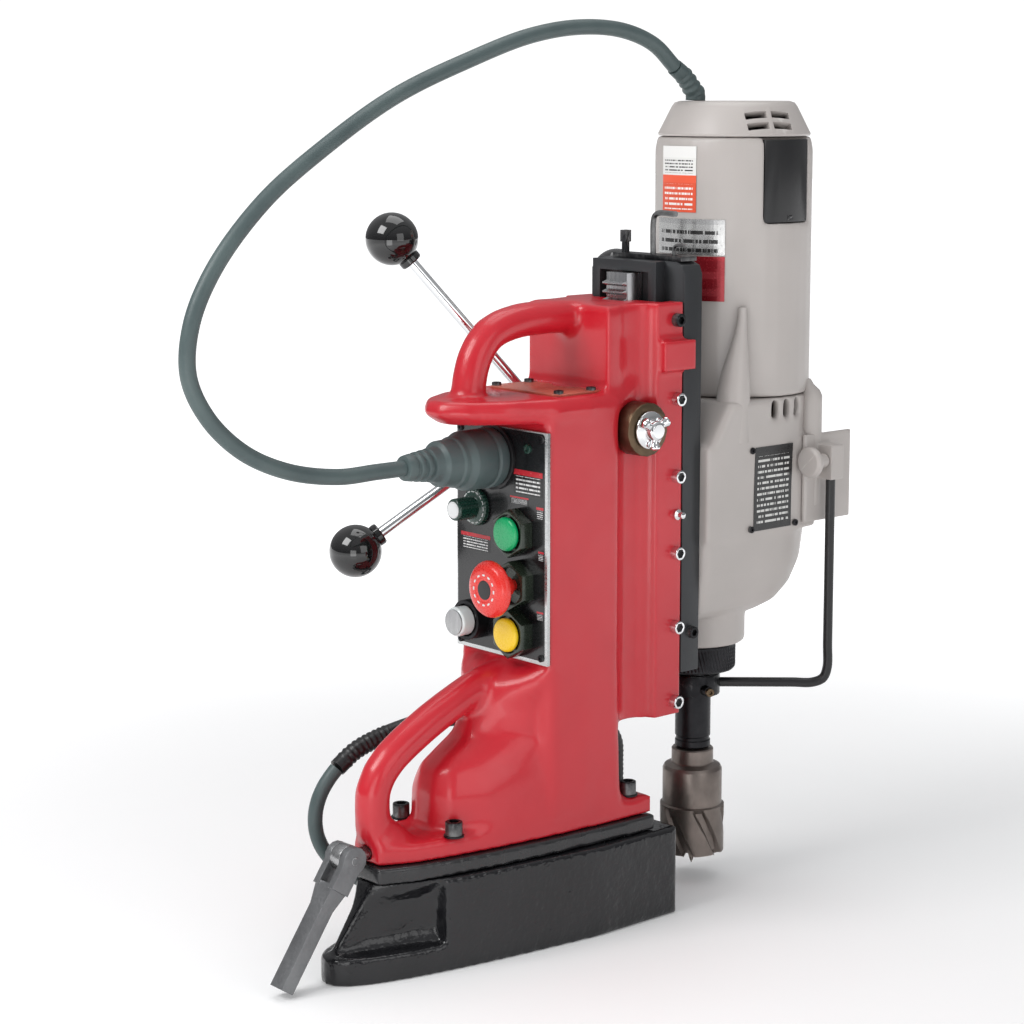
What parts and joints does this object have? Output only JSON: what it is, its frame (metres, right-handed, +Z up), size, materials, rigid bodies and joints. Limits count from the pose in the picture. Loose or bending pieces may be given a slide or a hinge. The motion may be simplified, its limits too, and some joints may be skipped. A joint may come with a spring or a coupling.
{
  "type": "magnetic drill press",
  "caption": "Portable drill press: electromagnet base, cast housing with control panel, and a drill motor on a slide fed by a spoked handle.",
  "frame": {"origin": "centre plane of the magnet's bottom face, at its flat pole", "axes": "+Z up from the work surface, -Y towards the operator and the control panel, +Y towards the drill motor, +X to the side with the gib screws"},
  "size_m": [0.3277, 0.5797, 0.6728],
  "materials": {
    "red_paint": "semi-gloss enamel on cast aluminium",
    "black_cast": "glossy black paint over rough casting",
    "black_steel": "black oxide, satin",
    "grey_steel": "machined steel",
    "grey_cast": "warm grey enamel",
    "chrome": "bright chrome plate",
    "bronze": "oiled bronze",
    "cutter_steel": "bronze-grey tool coating",
    "copper": "varnished copper winding",
    "black_plastic": "glossy black moulded plastic",
    "grey_rubber": "dark grey-green rubber jacket",
    "panel_black": "black overlay on a silver plate",
    "board_green": "circuit board",
    "cover_tan": "tan-red cover plate",
    "green": "green push button",
    "stop_red": "red mushroom head",
    "yellow": "yellow push button",
    "clear_white": "translucent white push button"
  },
  "bodies": {
    "base": {"magnet_body": "black_cast", "magnet_coil": "copper"},
    "housing": {"housing_casting": "red_paint", "swivel_plate": "black_steel", "visor_cover": "cover_tan", "control_panel": "panel_black", "gib": "grey_steel", "drill_socket": "black_plastic", "control_board": "board_green", "magnet_conduit": "black_plastic", "lead_plug": "grey_rubber", "motor_lead": "grey_rubber", "start_switch": "black_steel", "stop_switch": "black_steel", "magnet_switch": "black_steel", "reset_switch": "black_steel", "speed_control": "black_plastic", "feed_bush_right": "bronze", "feed_bush_left": "bronze", "mains_sleeve": "black_plastic", "mains_cord": "grey_rubber", "mains_coil": "grey_rubber", "mains_plug": "black_plastic"},
    "carriage": {"slide_plate": "grey_steel", "rack": "grey_steel", "key_holder": "black_steel", "gear_case": "grey_cast", "motor_housing": "grey_cast", "brush_cover_right": "black_plastic", "brush_cover_left": "black_plastic", "motor_cap": "grey_cast", "motor_field": "copper", "knurled_ring": "black_steel", "coolant_collar": "black_steel", "coolant_tube": "black_plastic", "coolant_bracket": "grey_cast", "spindle_bearing": "grey_steel", "lead_relief": "grey_rubber"},
    "armature": {"armature": "copper"},
    "intermediate": {"intermediate_gears": "grey_steel"},
    "spindle": {"spindle": "chrome", "arbor": "black_steel", "annular_cutter": "cutter_steel"},
    "feed": {"feed_pinion_shaft": "grey_steel", "feed_spider": "chrome", "ball_knob_1": "black_plastic", "ball_knob_2": "black_plastic", "ball_knob_3": "black_plastic", "ball_knob_4": "black_plastic"},
    "lock_knob": {"shaft_lock_knob": "chrome"},
    "valve_knob": {"coolant_valve_knob": "grey_cast"},
    "large_key": {"hex_key_large": "black_steel"},
    "small_key": {"hex_key_small": "black_steel"},
    "start_button": {"start_button": "green"},
    "stop_button": {"stop_button": "stop_red"},
    "magnet_button": {"magnet_button": "yellow"},
    "reset_button": {"reset_button": "clear_white"},
    "speed_dial": {"speed_dial": "black_plastic"},
    "lock_stud": {"lock_stud": "grey_steel"},
    "lock_lever": {"lock_lever": "grey_steel"}
  },
  "joints": [
    {"name": "base_swivel", "type": "hinge", "parent": "base", "child": "housing", "pos_m": [0, 0.095, 0], "axis": [0, 0, 1], "range_deg": [-3, 3]},
    {"name": "carriage_slide", "type": "slide", "parent": "housing", "child": "carriage", "axis": [0, 0, 1], "range_m": [-0.078, 0.18], "deforming": ["motor_lead"]},
    {"name": "feed_turn", "type": "hinge", "parent": "housing", "child": "feed", "pos_m": [0, 0.112, 0.375], "axis": [1, 0, 0], "range_deg": [-236.1, 542.9]},
    {"name": "lock_knob_turn", "type": "hinge", "parent": "feed", "child": "lock_knob", "pos_m": [0.0573, 0.112, 0.375], "axis": [1, 0, 0], "range_deg": [-90, 90]},
    {"name": "armature_spin", "type": "hinge", "parent": "carriage", "child": "armature", "pos_m": [0, 0.259, 0.4], "axis": [0, 0, 1], "continuous": true},
    {"name": "intermediate_spin", "type": "hinge", "parent": "carriage", "child": "intermediate", "pos_m": [0.0225, 0.2431, 0.3], "axis": [0, 0, 1], "continuous": true},
    {"name": "spindle_spin", "type": "hinge", "parent": "carriage", "child": "spindle", "pos_m": [0, 0.22, 0.2], "axis": [0, 0, 1], "continuous": true},
    {"name": "valve_turn", "type": "hinge", "parent": "carriage", "child": "valve_knob", "pos_m": [0.071, 0.2907, 0.336], "axis": [0, 1, 0], "range_deg": [0, 90]},
    {"name": "large_key_lift", "type": "slide", "parent": "carriage", "child": "large_key", "axis": [0, 0, 1], "range_m": [0, 0.03]},
    {"name": "small_key_lift", "type": "slide", "parent": "carriage", "child": "small_key", "axis": [0, 0, 1], "range_m": [0, 0.018]},
    {"name": "speed_dial_turn", "type": "hinge", "parent": "housing", "child": "speed_dial", "pos_m": [-0.026, 0.019, 0.318], "axis": [0, 1, 0], "range_deg": [-150, 120]},
    {"name": "lock_stud_turn", "type": "hinge", "parent": "housing", "child": "lock_stud", "pos_m": [0, -0.126, 0.088], "axis": [0, 1, 0], "range_deg": [-60, 60]},
    {"name": "lock_lever_fold", "type": "hinge", "parent": "lock_stud", "child": "lock_lever", "pos_m": [0, -0.126, 0.088], "axis": [1, 0, 0], "range_deg": [-60, 0]},
    {"name": "start_press", "type": "slide", "parent": "housing", "child": "start_button", "axis": [0, 1, 0], "range_m": [0, 0.004], "stiffness_N_per_m": 600, "springref_m": -0.003},
    {"name": "stop_press", "type": "slide", "parent": "housing", "child": "stop_button", "axis": [0, 1, 0], "range_m": [0, 0.004], "stiffness_N_per_m": 600, "springref_m": -0.003},
    {"name": "magnet_press", "type": "slide", "parent": "housing", "child": "magnet_button", "axis": [0, 1, 0], "range_m": [0, 0.004], "stiffness_N_per_m": 600, "springref_m": -0.003},
    {"name": "reset_press", "type": "slide", "parent": "housing", "child": "reset_button", "axis": [0, 1, 0], "range_m": [0, 0.004], "stiffness_N_per_m": 600, "springref_m": -0.003}
  ],
  "couplings": [
    {"joint": "feed_turn", "follows": "carriage_slide", "rad_per_m": 52.493},
    {"joint": "intermediate_spin", "follows": "armature_spin", "ratio": -0.31818},
    {"joint": "spindle_spin", "follows": "armature_spin", "ratio": 0.1157}
  ]
}
